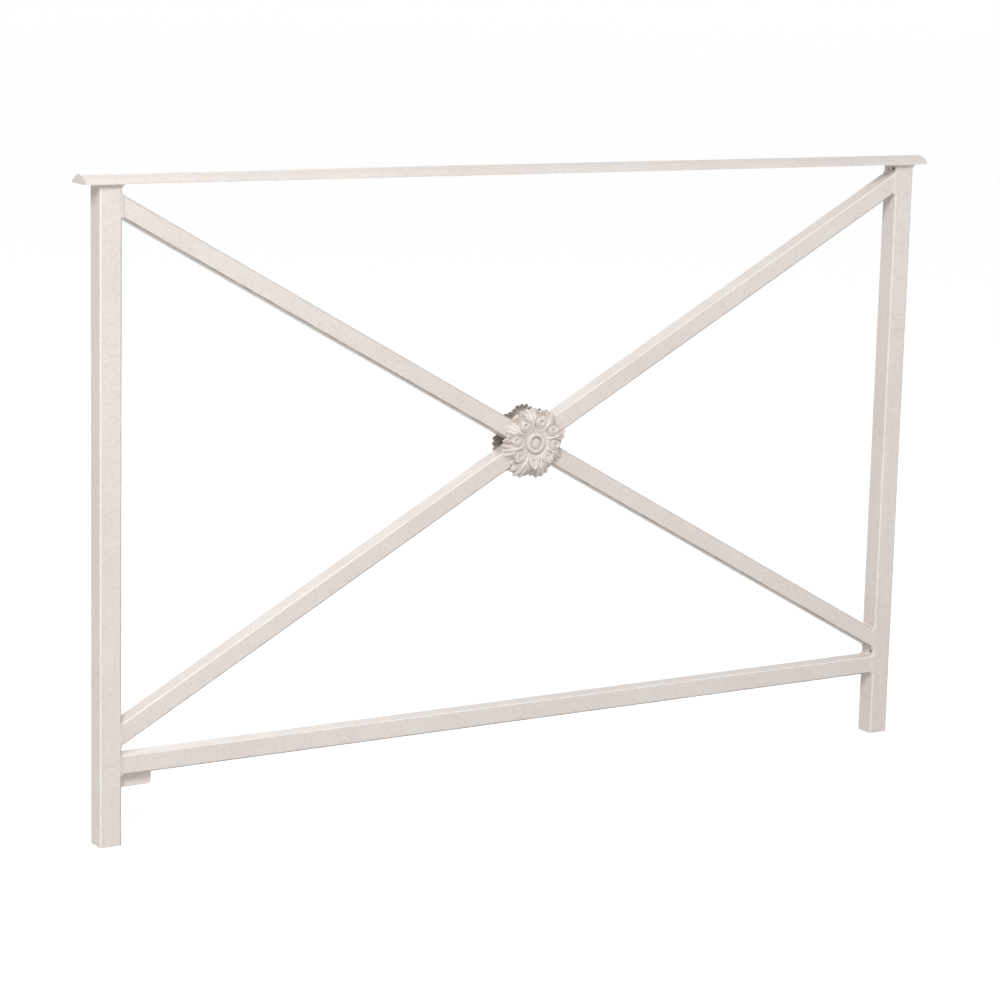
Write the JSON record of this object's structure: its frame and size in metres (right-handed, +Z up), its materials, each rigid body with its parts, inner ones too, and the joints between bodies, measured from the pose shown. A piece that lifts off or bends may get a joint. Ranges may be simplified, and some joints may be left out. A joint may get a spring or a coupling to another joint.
{
  "type": "street barrier",
  "caption": "Welded steel street barrier with square posts, half-round handrail, bottom rail and a Saint Andrew's cross with cast leaf rosettes at its centre.",
  "frame": {"origin": "centre of the left post's foot, on the plane of its cut end", "axes": "+X along the barrier to the right post, +Z up the posts, -Y towards the street side seen in the picture"},
  "size_m": [1.55, 0.057, 1.004],
  "materials": {
    "painted_steel": "satin",
    "painted_casting": "satin"
  },
  "bodies": {
    "root": {"left_post": "painted_steel", "right_post": "painted_steel", "handrail": "painted_steel", "bottom_rail": "painted_steel", "falling_diagonal": "painted_steel", "rising_diagonal_lower": "painted_steel", "rising_diagonal_upper": "painted_steel", "rail_plate": "painted_steel", "left_rail_weld": "painted_steel", "right_rail_weld": "painted_steel", "upper_left_weld": "painted_steel", "lower_right_weld": "painted_steel", "lower_left_weld": "painted_steel", "upper_right_weld": "painted_steel", "left_handrail_weld": "painted_steel", "right_handrail_weld": "painted_steel", "crossing_weld_left": "painted_steel", "crossing_weld_right": "painted_steel", "crossing_weld_top": "painted_steel", "crossing_weld_bottom": "painted_steel", "front_rosette": "painted_casting", "rear_rosette": "painted_casting", "centre_rivet": "painted_casting"}
  },
  "joints": []
}
